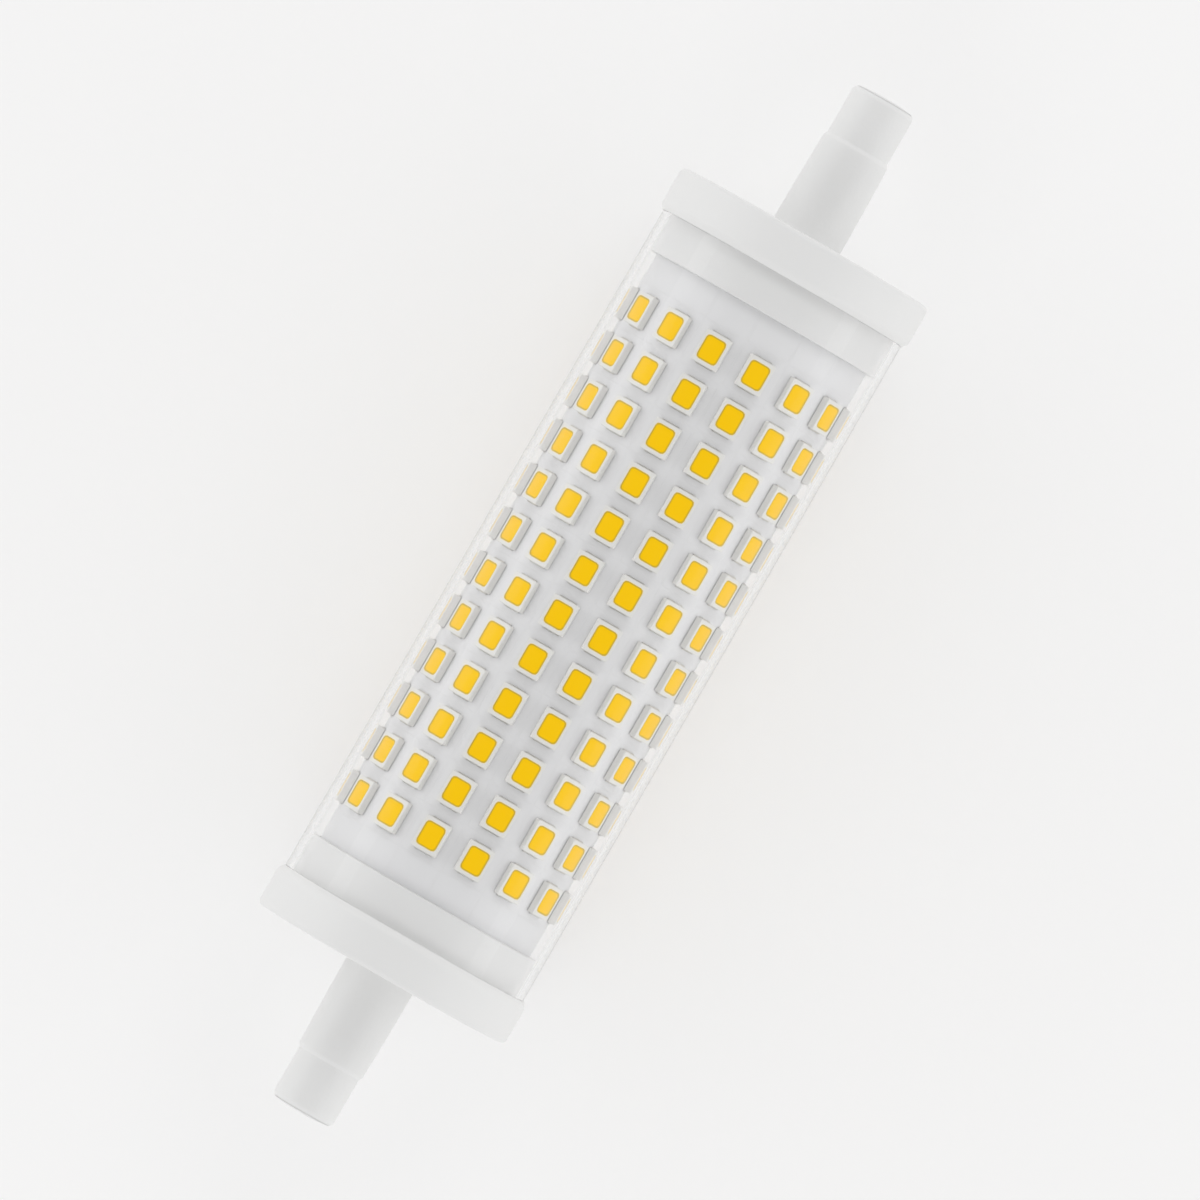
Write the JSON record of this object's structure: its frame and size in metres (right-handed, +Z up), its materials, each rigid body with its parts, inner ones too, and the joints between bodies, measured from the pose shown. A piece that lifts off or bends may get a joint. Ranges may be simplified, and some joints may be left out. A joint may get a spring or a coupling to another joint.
{
  "type": "linear led bulb",
  "caption": "Slim tubular LED lamp: a clear tube over rows of yellow LEDs on a white board, between white end caps with narrow necks and recessed contacts.",
  "frame": {"origin": "centre of the lamp, on its long axis halfway between the two tips", "axes": "+X along the lamp's axis towards the right-hand end cap, +Z up, with the seam of the rolled LED board facing -Z"},
  "size_m": [0.118, 0.0286, 0.0286],
  "materials": {
    "clear_tube": "clear, polished",
    "cap_white": "satin white moulding",
    "contact_metal": "nickel plated",
    "board_white": "white solder mask",
    "led_housing": "white moulded housing",
    "phosphor_yellow": "yellow silicone with phosphor",
    "circuit_green": "green solder mask",
    "lead_insulation": "white wire insulation",
    "tinned_copper": "tinned",
    "solder": "solder, slightly dull",
    "resistor_blue": "lacquered",
    "film_red": "dipped resin",
    "part_black": "black moulding compound",
    "ferrite_grey": "ground ferrite",
    "winding_copper": "enamelled copper",
    "can_sleeve": "shrunk sleeve over an aluminium can"
  },
  "bodies": {
    "root": {"bridge_rectifier": "part_black", "clear_tube": "clear_tube", "driver_board": "circuit_green", "driver_chip": "part_black", "electrolytic_capacitor": "can_sleeve", "film_capacitor": "film_red", "filter_choke": "part_black", "fuse_resistor": "resistor_blue", "inductor_core": "ferrite_grey", "inductor_winding": "winding_copper", "led_board": "board_white", "led_bodies_01": "led_housing", "led_bodies_02": "led_housing", "led_bodies_03": "led_housing", "led_bodies_04": "led_housing", "led_bodies_05": "led_housing", "led_bodies_06": "led_housing", "led_bodies_07": "led_housing", "led_bodies_08": "led_housing", "led_bodies_09": "led_housing", "led_bodies_10": "led_housing", "led_bodies_11": "led_housing", "led_bodies_12": "led_housing", "led_bodies_13": "led_housing", "led_bodies_14": "led_housing", "led_bodies_15": "led_housing", "led_bodies_16": "led_housing", "led_lead_minus": "tinned_copper", "led_lead_plus": "tinned_copper", "led_phosphor_01": "phosphor_yellow", "led_phosphor_02": "phosphor_yellow", "led_phosphor_03": "phosphor_yellow", "led_phosphor_04": "phosphor_yellow", "led_phosphor_05": "phosphor_yellow", "led_phosphor_06": "phosphor_yellow", "led_phosphor_07": "phosphor_yellow", "led_phosphor_08": "phosphor_yellow", "led_phosphor_09": "phosphor_yellow", "led_phosphor_10": "phosphor_yellow", "led_phosphor_11": "phosphor_yellow", "led_phosphor_12": "phosphor_yellow", "led_phosphor_13": "phosphor_yellow", "led_phosphor_14": "phosphor_yellow", "led_phosphor_15": "phosphor_yellow", "led_phosphor_16": "phosphor_yellow", "led_solder_joints": "solder", "left_contact_pin": "contact_metal", "left_end_cap": "cap_white", "left_mains_lead": "lead_insulation", "output_diode": "part_black", "right_contact_pin": "contact_metal", "right_end_cap": "cap_white", "right_mains_lead": "lead_insulation"}
  },
  "joints": []
}
